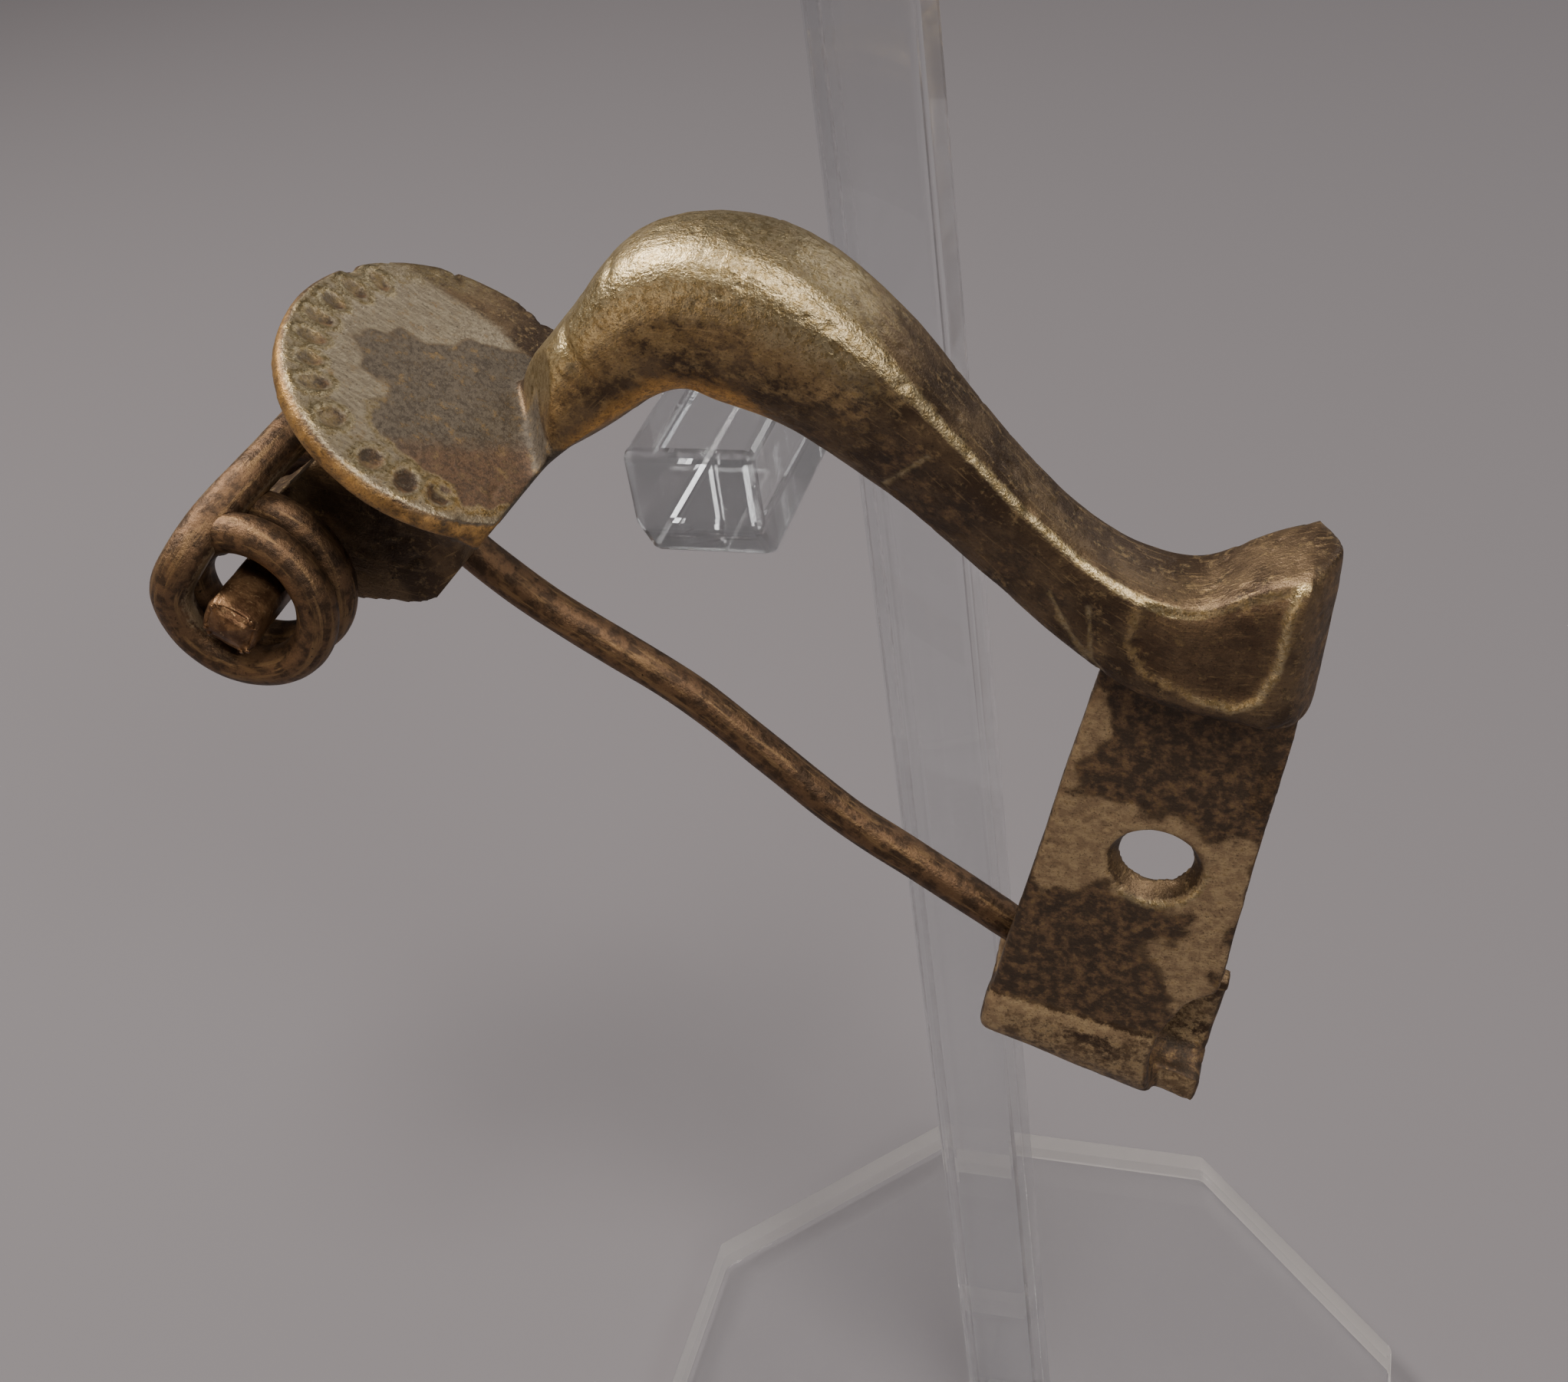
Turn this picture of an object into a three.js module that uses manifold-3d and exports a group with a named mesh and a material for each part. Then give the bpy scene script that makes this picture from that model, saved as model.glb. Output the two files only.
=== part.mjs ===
// A bronze knee brooch hanging on a clear acrylic display stand.
// Millimetres, +Z up. The origin is the centre of the underside of the stand's foot.
// The brooch is drawn in a frame of its own, which is turned and placed on the peg at the end:
// its origin is the centre of the hole in the catchplate, x runs from head to foot, y is the
// brooch's width, and z runs up the catchplate.
import * as THREE from 'three';
import { mergeVertices } from 'three/addons/utils/BufferGeometryUtils.js';
import Module from 'manifold-3d';

// ---- driving dimensions ----

// stand
const FOOT_ACROSS = 46;          // octagonal foot, flat to flat
const FOOT_THICK = 3;
const ROD_WIDE = 4.2;            // square upright
const ROD_TOP = 99;
const PEG = { wide: 5, high: 5, bevel: 1.9, top: 82.2, front: -13.1 };

// where the brooch hangs: the centre of its catchplate hole, and how far its foot drops
const HANG_AT = new THREE.Vector3(11.2, -11.3, 63);
const HANG_TURN = THREE.MathUtils.degToRad(13);

// clearance between pieces that touch
const GAP = 0.3;

// axle and wire
const AXLE = { x: -36.25, z: 5.75, radius: 1.05, half: 6.6, sides: 8 };
const WIRE_RADIUS = 0.84;
const PIN_RADIUS = 0.86;
const COIL_RADIUS = 2.85;        // to the middle of the wire
const NEAR_PITCH = 1.68;
const FAR_PITCH = WIRE_RADIUS + PIN_RADIUS + GAP;
const INNER_TURN_Y = 2.2;        // middle of the turns beside the lug
const BUTT_GAP = 0.7;            // room at the joint between spring and pin for the pin's swing

// head disc
const DISC = {
  x: -29.4, y: -0.4, z: 14.7, radius: 7.05, squeeze: 0.92, straight: 3.9, thick: 1.0, tilt: -25,
};
const LUG_HALF = 1.0;
// where the leg's near corner is pared away: a line across the disc, and the point where the cut dies out
const PARED = { from: [-28.6, 3.5, 14.35], to: [-25.2, -2.2, 12.7], dies: [-24.9, -2.3, 18.6] };

// catchplate and catch
const PLATE_THICK = 1.0;
const HOLE = { front: 2.0, back: 1.4 };
const CATCH = { inner: 1.2, wall: 1.0, middleY: 1.7, bendZ: -11.2, lipZ: -8.8, left: -5.3, right: 4.8 };
const FOLD_Z = -9.6;
const CATCH_DEEPENS = { start: 0.78, perMm: 0.06 };      // how the roll grows from head side to foot side
const MOUTH = [[4.2, -5.8], [2.9, -7.2], [2.3, -9.2], [2.2, -11.2], [2.6, -13.4], [3.6, -17], [8, -17],
  [8, -5.8]];

// ---- colours ----
const bronze = new THREE.MeshStandardMaterial({ color: 0x5c4a33, roughness: 0.42, metalness: 1.0 });
const darkBronze = new THREE.MeshStandardMaterial({ color: 0x46382a, roughness: 0.5, metalness: 1.0 });
const redBronze = new THREE.MeshStandardMaterial({ color: 0x6a4a36, roughness: 0.5, metalness: 1.0 });
const acrylic = new THREE.MeshStandardMaterial({
  color: 0xdfe6ea, roughness: 0.05, metalness: 0, transparent: true, opacity: 0.35,
});

// ---- solids: joining and cutting ----
const wasm = await Module();
wasm.setup();

function toSolid(geometry) {
  let bare = geometry.clone();
  bare.deleteAttribute('normal');
  bare.deleteAttribute('uv');
  bare = mergeVertices(bare, 1e-4);
  return new wasm.Manifold(new wasm.Mesh({
    numProp: 3,
    vertProperties: new Float32Array(bare.attributes.position.array),
    triVerts: new Uint32Array(bare.index.array),
  }));
}

function toGeometry(solid) {
  const mesh = solid.getMesh();
  const geometry = new THREE.BufferGeometry();
  geometry.setAttribute('position', new THREE.BufferAttribute(new Float32Array(mesh.vertProperties), 3));
  geometry.setIndex(new THREE.BufferAttribute(new Uint32Array(mesh.triVerts), 1));
  geometry.computeVertexNormals();
  return geometry;
}

function piece(name, geometry, material) {
  const mesh = new THREE.Mesh(geometry, material);
  mesh.name = name;
  return mesh;
}

// An outline in x and z, given as points and cut from y = near to y = far.
function slab(points, near, far, bevel = 0) {
  const shape = new THREE.Shape(points.map(([x, z]) => new THREE.Vector2(x, z)));
  const geometry = new THREE.ExtrudeGeometry(shape, {
    depth: far - near - 2 * bevel, bevelEnabled: bevel > 0, bevelThickness: bevel,
    bevelSize: bevel, bevelOffset: -bevel, bevelSegments: 2, curveSegments: 12,
  });
  geometry.rotateX(Math.PI / 2);
  geometry.translate(0, far - bevel, 0);
  return geometry;
}

// ---- the bow: a rod of changing section, from the lug over the knee to the foot ----
// Each station gives the middle of the section, the direction the bow runs there, its half height
// and half width, how square it is (2 is an ellipse), and how much narrower its underside is.
const BOW = [
  { x: -30.6, z: 8.7, run: 46, high: 1.9, wide: 1.2, square: 3.0, keel: 0.00 },
  { x: -28.0, z: 11.5, run: 50, high: 1.9, wide: 2.1, square: 3.0, keel: 0.00 },
  { x: -25.7, z: 14.3, run: 51, high: 1.9, wide: 2.6, square: 3.0, keel: 0.00 },
  { x: -23.2, z: 17.8, run: 53, high: 2.1, wide: 2.7, square: 2.8, keel: 0.05 },
  { x: -21.2, z: 19.8, run: 28, high: 2.9, wide: 2.9, square: 2.5, keel: 0.10 },
  { x: -18.3, z: 20.1, run: -12, high: 3.3, wide: 3.0, square: 2.5, keel: 0.15 },
  { x: -15.0, z: 18.7, run: -34, high: 2.9, wide: 2.8, square: 2.9, keel: 0.25 },
  { x: -11.6, z: 16.3, run: -37, high: 2.3, wide: 2.3, square: 3.6, keel: 0.35 },
  { x: -7.8, z: 13.6, run: -35, high: 2.0, wide: 2.0, square: 3.8, keel: 0.35 },
  { x: -4.6, z: 11.9, run: -25, high: 2.1, wide: 2.1, square: 4.0, keel: 0.20 },
  { x: -1.6, z: 11.2, run: -6, high: 2.5, wide: 2.3, square: 4.5, keel: 0.10 },
  { x: 1.2, z: 12.1, run: 8, high: 3.2, wide: 2.5, square: 5.0, keel: 0.05 },
  { x: 4.2, z: 12.9, run: 8, high: 4.1, wide: 2.6, square: 5.0, keel: 0.05 },
];
const BOW_RINGS = 56;
const BOW_SIDES = 28;

function along(values, t) {
  const spline = new THREE.SplineCurve(values.map((v, i) => new THREE.Vector2(i, v)));
  return spline.getPoint(t).y;
}

function bowSection(t) {
  const section = {};
  for (const key of Object.keys(BOW[0])) section[key] = along(BOW.map((s) => s[key]), t);
  return section;
}

function bowGeometry() {
  const rod = new THREE.CylinderGeometry(1, 1, 1, BOW_SIDES, BOW_RINGS);
  const p = rod.attributes.position;
  for (let i = 0; i < p.count; i += 1) {
    const s = bowSection(p.getY(i) + 0.5);
    const reach = Math.hypot(p.getX(i), p.getZ(i));
    const angle = Math.atan2(p.getZ(i), p.getX(i));
    const side = -Math.sign(Math.cos(angle)) * Math.abs(Math.cos(angle)) ** (2 / s.square) * reach;
    const up = Math.sign(Math.sin(angle)) * Math.abs(Math.sin(angle)) ** (2 / s.square) * reach;
    const narrow = 1 - s.keel * (1 - up);
    const run = THREE.MathUtils.degToRad(s.run);
    p.setXYZ(i,
      s.x - Math.sin(run) * up * s.high,
      side * s.wide * narrow,
      s.z + Math.cos(run) * up * s.high);
  }
  return rod;
}

// The foot ends in two flat faces that meet in an upright edge, like a blunt prow.
const PROW = { x: 3.9, turn: THREE.MathUtils.degToRad(20), lean: THREE.MathUtils.degToRad(-5) };

function prowCuts() {
  return [-1, 1].map((side) => {
    const block = new THREE.BoxGeometry(10, 20, 30);
    block.translate(5, 0, 0);
    block.rotateZ(side * PROW.turn);
    block.rotateY(PROW.lean);
    block.translate(PROW.x, 0, 9);
    return toSolid(block);
  });
}

function paringCut() {
  const [from, to, dies] = [PARED.from, PARED.to, PARED.dies].map((p) => new THREE.Vector3(...p));
  const along = to.clone().sub(from).normalize();
  const off = along.clone().cross(dies.clone().sub(from)).normalize();
  const rise = off.clone().cross(along);
  const block = new THREE.BoxGeometry(10, 30, 20);
  block.translate(5, from.distanceTo(to) - 14.7, 7);
  block.applyMatrix4(new THREE.Matrix4().makeBasis(off, along, rise).setPosition(from));
  return toSolid(block);
}

// ---- the head: disc and lug ----
function discGeometry() {
  const bevel = 0.25;
  const half = DISC.thick / 2;
  const rim = [[0, -half], [DISC.radius - bevel, -half], [DISC.radius, bevel - half],
    [DISC.radius, half - bevel], [DISC.radius - bevel, half], [0, half]];
  const disc = new THREE.LatheGeometry(rim.map(([r, h]) => new THREE.Vector2(r, h)), 56);
  disc.scale(DISC.squeeze, 1, 1);
  disc.rotateX(Math.PI / 2);
  const beyond = new THREE.BoxGeometry(DISC.radius, 4 * DISC.radius, 4 * DISC.thick);
  beyond.translate(DISC.straight + DISC.radius / 2, 0, 0);
  const flange = toGeometry(toSolid(disc).subtract(toSolid(beyond)));
  flange.translate(0, 0, -half);
  flange.rotateY(THREE.MathUtils.degToRad(-DISC.tilt));
  flange.translate(DISC.x, DISC.y, DISC.z);
  return flange;
}

function lugGeometry() {
  const eyeRadius = 2.4;
  const heel = { x: -31.9, z: 7.3, radius: 2.9 };
  const shape = new THREE.Shape();
  shape.absarc(AXLE.x, AXLE.z, eyeRadius, Math.PI * 0.62, Math.PI * 1.55, false);
  shape.absarc(heel.x, heel.z, heel.radius, Math.PI * 1.5, Math.PI * 2.05, false);
  shape.lineTo(-28.6, 11.5);
  shape.lineTo(-31.8, 13.8);
  const geometry = new THREE.ExtrudeGeometry(shape, {
    depth: 2 * LUG_HALF, bevelEnabled: false, curveSegments: 14,
  });
  geometry.rotateX(Math.PI / 2);
  geometry.translate(0, LUG_HALF, 0);
  return geometry;
}

// A round rod across the brooch, from y = near to y = far.
function crossRod(x, z, nearRadius, farRadius, near, far, sides) {
  const rod = new THREE.CylinderGeometry(farRadius, nearRadius, far - near, sides);
  rod.translate(x, (near + far) / 2, z);
  return rod;
}

// ---- catchplate and the catch rolled up from its lower edge ----
const PLATE_OUTLINE = [[-3.9, 9.6], [-4.2, 5.5], [-4.6, -1.5], [-5.1, -9.6], [3.6, -9.6],
  [4.0, -5.7], [3.7, 1.0], [3.5, 8.0], [3.2, 12.0], [-3.4, 12.0]];

function catchGeometry() {
  const { inner, wall, middleY, bendZ, lipZ } = CATCH;
  const outer = inner + wall;
  const bulge = 0.3;
  const near = middleY - inner;
  const far = middleY + inner;
  const shape = new THREE.Shape();
  shape.moveTo(near, -9.2);
  shape.lineTo(near - PLATE_THICK, -9.2);
  shape.lineTo(near - PLATE_THICK - bulge, -10.0);
  shape.lineTo(near - PLATE_THICK - bulge, bendZ);
  shape.absarc(middleY - bulge / 2, bendZ, outer + bulge / 2, Math.PI, Math.PI * 2, false);
  shape.lineTo(far + wall, lipZ - wall * 0.4);
  shape.lineTo(far + wall * 0.6, lipZ);
  shape.lineTo(far, lipZ - wall * 0.2);
  shape.absarc(middleY, bendZ, inner, Math.PI * 2, Math.PI, true);
  const length = CATCH.right - CATCH.left;
  const geometry = new THREE.ExtrudeGeometry(shape, {
    depth: length, bevelEnabled: false, curveSegments: 10,
  });
  // the outline's own x and y become y and z, and its depth becomes x
  geometry.applyMatrix4(new THREE.Matrix4().makeBasis(
    new THREE.Vector3(0, 1, 0), new THREE.Vector3(0, 0, 1), new THREE.Vector3(1, 0, 0)));
  geometry.translate(CATCH.left, 0, 0);
  const p = geometry.attributes.position;
  for (let i = 0; i < p.count; i += 1) {
    const grow = CATCH_DEEPENS.start + CATCH_DEEPENS.perMm * (p.getX(i) - CATCH.left);
    p.setZ(i, FOLD_Z + (p.getZ(i) - FOLD_Z) * grow);
  }
  return geometry;
}

// The near wall of the catch is cut back at its mouth, so the far lip stands proud of it.
function mouthCut() {
  return slab(MOUTH, -2.2, 1.1);
}

function castingGeometry() {
  let solid = toSolid(bowGeometry());
  for (const cut of [...prowCuts(), paringCut()]) solid = solid.subtract(cut);
  solid = solid.add(toSolid(lugGeometry()));
  solid = solid.add(toSolid(discGeometry()));
  solid = solid.add(toSolid(slab(PLATE_OUTLINE, -PLATE_THICK / 2, PLATE_THICK / 2)));
  solid = solid.add(toSolid(catchGeometry()));
  solid = solid.subtract(toSolid(mouthCut()));
  const past = 0.2;
  const taper = (HOLE.front - HOLE.back) / PLATE_THICK * past;
  solid = solid.subtract(toSolid(crossRod(0, 0, HOLE.front + taper, HOLE.back - taper,
    -PLATE_THICK / 2 - past, PLATE_THICK / 2 + past, 32)));
  solid = solid.subtract(toSolid(crossRod(AXLE.x, AXLE.z, AXLE.radius + GAP, AXLE.radius + GAP,
    -LUG_HALF - 1, LUG_HALF + 1, 24)));
  return toGeometry(solid);
}

function axleGeometry() {
  return crossRod(AXLE.x, AXLE.z, AXLE.radius, AXLE.radius, -AXLE.half, AXLE.half, AXLE.sides);
}

// ---- wire ----
// A helix about the axle, from one angle to another, moving across the brooch as it turns.
function helix(fromAngle, toAngle, fromY, toY) {
  const steps = Math.max(2, Math.round(Math.abs(toAngle - fromAngle) / (Math.PI / 8)));
  const points = [];
  for (let i = 0; i <= steps; i += 1) {
    const angle = fromAngle + (toAngle - fromAngle) * i / steps;
    points.push(new THREE.Vector3(
      AXLE.x + COIL_RADIUS * Math.cos(angle),
      fromY + (toY - fromY) * i / steps,
      AXLE.z + COIL_RADIUS * Math.sin(angle)));
  }
  return points;
}

function wireGeometry(points, radius, steps) {
  const sides = 10;
  const ring = new THREE.Shape();
  ring.absarc(0, 0, radius, 0, Math.PI * 2, false);
  const path = new THREE.CatmullRomCurve3(points, false, 'centripetal');
  return new THREE.ExtrudeGeometry(ring, { steps, extrudePath: path, curveSegments: sides / 2 });
}

// the chord runs outside the lug, from the near coil up and across to the far one
const CHORD_ROUTE = [[-38.5, -5.3, 7.6], [-37.9, -3.9, 8.8], [-37.1, -2.2, 9.8], [-36.6, 0, 10.4],
  [-36.5, 2.6, 10.5], [-36.4, 4.6, 10.4], [-35.6, 5.9, 9.5]];
const CHORD_LANDS = THREE.MathUtils.degToRad(45);    // angle on the far coil where the chord comes down
const PIN_LEAVES = THREE.MathUtils.degToRad(60);     // angle on the coil where the pin runs off
const PIN_ROUTE = [[-31.5, 6.45], [-29.0, 4.85], [-26.8, 3.65], [-23.4, 2.2], [-20.0, 0.75], [-16.5, -1.4],
  [-12.8, -3.7], [-9.2, -5.35], [-5.5, -7.1], [-1.5, -9.1], [2.6, -11.0]];
const PIN_END_Y = CATCH.middleY;

function pinGeometry() {
  const buttAngle = BUTT_GAP / COIL_RADIUS;
  const turn = helix(
    PIN_LEAVES + Math.PI * 2 - buttAngle, PIN_LEAVES, INNER_TURN_Y + FAR_PITCH, INNER_TURN_Y);
  const last = PIN_ROUTE.length - 1;
  const route = PIN_ROUTE.map(([x, z], i) => new THREE.Vector3(
    x, THREE.MathUtils.lerp(INNER_TURN_Y, PIN_END_Y, i / last), z));
  return wireGeometry([...turn, ...route], PIN_RADIUS, 90);
}

function springGeometry() {
  const left = Math.PI * 0.95;
  const nearEnd = -INNER_TURN_Y - 2 * NEAR_PITCH;
  const farEnd = INNER_TURN_Y + 2 * FAR_PITCH;
  const nearCoil = helix(left + Math.PI * 4, left, -INNER_TURN_Y, nearEnd);
  const farCoil = helix(
    CHORD_LANDS + Math.PI * 4, PIN_LEAVES + Math.PI * 2, farEnd, INNER_TURN_Y + FAR_PITCH);
  return wireGeometry([
    ...nearCoil,
    ...CHORD_ROUTE.map((point) => new THREE.Vector3(...point)),
    ...farCoil,
  ], WIRE_RADIUS, 130);
}

// ---- stand ----
function footGeometry() {
  const corner = FOOT_ACROSS / 2 / Math.cos(Math.PI / 8);
  const foot = new THREE.CylinderGeometry(corner, corner, FOOT_THICK, 8);
  foot.rotateX(Math.PI / 2);
  foot.rotateZ(Math.PI / 8);
  foot.translate(0, 0, FOOT_THICK / 2);
  return foot;
}

function uprightGeometry() {
  const rod = new THREE.BoxGeometry(ROD_WIDE, ROD_WIDE, ROD_TOP - FOOT_THICK - GAP);
  rod.translate(0, 0, (ROD_TOP + FOOT_THICK + GAP) / 2);
  return rod;
}

// The peg is fixed to the left side of the upright. Seen from the side it is a bar with its lower
// front corner cut off.
function pegGeometry() {
  const back = ROD_WIDE / 2;
  const side = new THREE.Shape([[PEG.front, PEG.top], [PEG.front, PEG.top - PEG.high + PEG.bevel],
    [PEG.front + PEG.bevel * 0.6, PEG.top - PEG.high], [back, PEG.top - PEG.high], [back, PEG.top],
  ].map(([y, z]) => new THREE.Vector2(y, z)));
  const peg = new THREE.ExtrudeGeometry(side, { depth: PEG.wide, bevelEnabled: false });
  peg.applyMatrix4(new THREE.Matrix4().makeBasis(
    new THREE.Vector3(0, 1, 0), new THREE.Vector3(0, 0, 1), new THREE.Vector3(1, 0, 0)));
  peg.translate(-ROD_WIDE / 2 - GAP - PEG.wide, 0, 0);
  return peg;
}

// ---- assembly ----
const brooch = new THREE.Group();
brooch.position.copy(HANG_AT);
brooch.rotation.y = HANG_TURN;
brooch.add(
  piece('brooch_casting', castingGeometry(), bronze),
  piece('axle', axleGeometry(), redBronze),
  piece('spring', springGeometry(), darkBronze),
  piece('pin', pinGeometry(), darkBronze),
);

const part = new THREE.Group();
part.add(
  piece('stand_foot', footGeometry(), acrylic),
  piece('stand_upright', uprightGeometry(), acrylic),
  piece('stand_peg', pegGeometry(), acrylic),
  brooch,
);

export default part;
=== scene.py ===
# A Roman bronze knee brooch hanging on a clear acrylic stand. Metres, +Z up.
import math

import bmesh
import bpy
import numpy as np
from mathutils import Matrix, Vector, noise


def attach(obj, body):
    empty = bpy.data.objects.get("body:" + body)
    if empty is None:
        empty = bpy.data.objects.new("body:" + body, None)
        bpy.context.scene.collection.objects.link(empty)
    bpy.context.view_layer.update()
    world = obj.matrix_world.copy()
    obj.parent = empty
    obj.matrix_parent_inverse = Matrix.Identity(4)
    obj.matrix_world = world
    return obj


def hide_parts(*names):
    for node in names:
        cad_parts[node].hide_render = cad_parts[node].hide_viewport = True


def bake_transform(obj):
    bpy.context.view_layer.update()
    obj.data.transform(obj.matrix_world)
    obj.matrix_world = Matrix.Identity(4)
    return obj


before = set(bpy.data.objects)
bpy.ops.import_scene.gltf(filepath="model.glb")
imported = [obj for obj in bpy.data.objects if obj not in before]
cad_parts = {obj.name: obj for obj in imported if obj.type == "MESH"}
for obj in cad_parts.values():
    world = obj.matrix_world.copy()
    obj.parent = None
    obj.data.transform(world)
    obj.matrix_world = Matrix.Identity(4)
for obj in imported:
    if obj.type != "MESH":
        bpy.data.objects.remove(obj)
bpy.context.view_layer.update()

scene = bpy.context.scene

# ---------------------------------------------------------------------------------------------
# Camera: a long look down on the near side of the brooch, level with its knee.
# ---------------------------------------------------------------------------------------------
camera_right = Vector((0.9546, 0.2684, -0.1290)).normalized()
camera_up = Vector((-0.0631, 0.6056, 0.7933))
camera_up = (camera_up - camera_right * camera_up.dot(camera_right)).normalized()
camera_back = camera_right.cross(camera_up)

camera_lens = bpy.data.cameras.new("camera")
camera_lens.sensor_width = 36.0
camera_lens.lens = 44.03
camera_lens.clip_start = 0.001
camera_lens.clip_end = 10.0
camera = bpy.data.objects.new("camera", camera_lens)
scene.collection.objects.link(camera)
camera.matrix_world = Matrix.Translation((0.01889, -0.06838, 0.11567)) @ Matrix((
    camera_right, camera_up, camera_back)).transposed().to_4x4()
scene.camera = camera

# ---------------------------------------------------------------------------------------------
# The casting: bow, head disc, lug, foot and catchplate in one piece of leaded bronze.
# It was cast, then filed and polished; the disc is punched by hand along part of its rim, and
# the catch is rolled up from the plate's lower edge. Its faces are worn pale, its hollows dark;
# highlights, a warm reflection and shade are also painted into its colour.
# ---------------------------------------------------------------------------------------------
# The brooch is measured in millimetres from the centre of the hole in its catchplate:
# x from head to foot, y away from the near side, z up the plate.
hole_centre = Vector((0.0112, -0.0113, 0.0630))
brooch_drop = math.radians(13)
brooch_to_row = (Matrix.Translation(hole_centre) @ Matrix.Rotation(brooch_drop, 4, "Y")
                 @ Matrix.Scale(0.001, 4))
row_to_brooch = brooch_to_row.inverted()


def new_piece(name, mesh):
    piece = bpy.data.objects.new(name, mesh)
    scene.collection.objects.link(piece)
    return piece


def copy_of(node):
    """A merged copy of a CAD solid, in the brooch's own millimetres."""
    solid = bmesh.new()
    solid.from_mesh(bpy.data.objects[node].data)
    bmesh.ops.remove_doubles(solid, verts=solid.verts, dist=2e-6)
    bmesh.ops.transform(solid, matrix=row_to_brooch, verts=solid.verts)
    return solid


def as_cast(solid, grain, rounds):
    """The solid with even facets of one size and every sharp edge softened, as a mould leaves it."""
    rough = bpy.data.meshes.new("rough_casting")
    solid.to_mesh(rough)
    solid.free()
    blank = new_piece("rough_casting", rough)
    remesh = blank.modifiers.new("even_facets", "REMESH")
    remesh.mode = "VOXEL"
    remesh.voxel_size = grain
    remesh.use_smooth_shade = True
    soften = blank.modifiers.new("soften", "SMOOTH")
    soften.factor = 0.5
    soften.iterations = rounds
    view = bpy.context.evaluated_depsgraph_get()
    finished = bpy.data.meshes.new_from_object(blank.evaluated_get(view))
    bpy.data.objects.remove(blank)
    return finished


def read_vectors(mesh, what):
    values = np.zeros(len(mesh.vertices) * 3)
    if what == "place":
        mesh.vertices.foreach_get("co", values)
    else:
        mesh.vertex_normals.foreach_get("vector", values)
    return values.reshape(-1, 3)


def step(value, low, high):
    t = np.clip((value - low) / (high - low), 0, 1)
    return t * t * (3 - 2 * t)


def ripple(places, size, seed):
    """Smooth noise of about -1 to 1 at each place, with lumps of that size in millimetres."""
    shift = Vector((seed * 7.31, seed * 3.17, seed * 5.53))
    return np.array([noise.noise(Vector(p) / size + shift) for p in places])


def inside(points, outline, softness):
    """1 inside a closed outline, 0 outside, passing over from one to the other along the edge."""
    x, y = points[:, 0], points[:, 1]
    away = np.full(len(points), 1e9)
    within = np.zeros(len(points), bool)
    for (ax, ay), (bx, by) in zip(outline, outline[1:] + outline[:1]):
        run = (bx - ax) ** 2 + (by - ay) ** 2
        t = np.clip(((x - ax) * (bx - ax) + (y - ay) * (by - ay)) / run, 0, 1)
        away = np.minimum(away, np.hypot(x - ax - t * (bx - ax), y - ay - t * (by - ay)))
        if ay != by:
            crosses = (ay > y) != (by > y)
            within ^= crosses & (x < (bx - ax) * (y - ay) / (by - ay) + ax)
    return step(np.where(within, away, -away), -softness, softness)


def from_line(points, line):
    """Distance from an open line of points."""
    x, y = points[:, 0], points[:, 1]
    away = np.full(len(points), 1e9)
    for (ax, ay), (bx, by) in zip(line, line[1:]):
        run = (bx - ax) ** 2 + (by - ay) ** 2
        t = np.clip(((x - ax) * (bx - ax) + (y - ay) * (by - ay)) / run, 0, 1)
        away = np.minimum(away, np.hypot(x - ax - t * (bx - ax), y - ay - t * (by - ay)))
    return away


def rub_down(mesh, rounds, chosen):
    """Rounds off the part of the mesh whose points are chosen, as handling and filing do."""
    solid = bmesh.new()
    solid.from_mesh(mesh)
    verts = [v for v in solid.verts if chosen(v.co)]
    for _ in range(rounds):
        bmesh.ops.smooth_vert(solid, verts=verts, factor=0.5, use_axis_x=True, use_axis_y=True,
                              use_axis_z=True)
    solid.to_mesh(mesh)
    solid.free()


def pare(mesh, faces, kept_beyond):
    """Files a corner back to the nearer of its flat faces, each a normal and a distance.

    The filing is full 2 mm short of kept_beyond and leaves everything past it alone.
    """
    for vert in mesh.vertices:
        outside = [distance - vert.co.dot(normal) for normal, distance in faces]
        if min(outside) > 0:
            normal = faces[outside.index(min(outside))][0]
            vert.co += normal * min(outside) * min(max(kept_beyond - vert.co.x, 0) / 2, 1)


casting_grain = 0.14
disc_middle = Vector((-29.4, -0.4, 14.7))
disc_tilt = math.radians(25)
rough_casting = copy_of("brooch_casting")
# the web that fills the corner between the disc's straight edge and the neck
web_middle = (3.9, -3.0, -0.85)
web_size = (2.2, 4.8, 1.62, 1.0)
bmesh.ops.create_cube(rough_casting, size=1.0, matrix=(
    Matrix.Translation(disc_middle) @ Matrix.Rotation(disc_tilt, 4, "Y")
    @ Matrix.Translation(web_middle) @ Matrix.Diagonal(web_size)))
casting = as_cast(rough_casting, casting_grain, 5)

# the neck's lower near corner, filed to two flats that die out towards the bow
filed_faces = [(Vector((-0.854, 0.051, 0.518)), 28.28), (Vector((-0.728, 0.198, 0.657)), 26.71)]
filing_ends = -22
pare(casting, filed_faces, filing_ends)

# the end of the foot and the outside of the rolled catch, worn round
foot_end_x, foot_bottom_z, catch_top_z = 2.2, 8.6, -9.2
rub_down(casting, 100, lambda p: p.x > foot_end_x and p.z > foot_bottom_z)
rub_down(casting, 20, lambda p: p.z < catch_top_z)
# the joins of the disc, the neck and the lug, blended into each other
rub_down(casting, 12, lambda p: (p.x + 26.5) ** 2 + (p.z - 13.3) ** 2 < 9.0 and abs(p.y) < 3.6)
rub_down(casting, 30, lambda p: (p.x + 25.4) ** 2 + (p.z - 11.2) ** 2 < 3.6)
rub_down(casting, 40, lambda p: (p.x + 25.6) ** 2 + (p.z - 13.1) ** 2 < 1.4 and p.y < 1.2)
place = read_vectors(casting, "place")
normal = read_vectors(casting, "normal")
x, y, z = place.T

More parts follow.
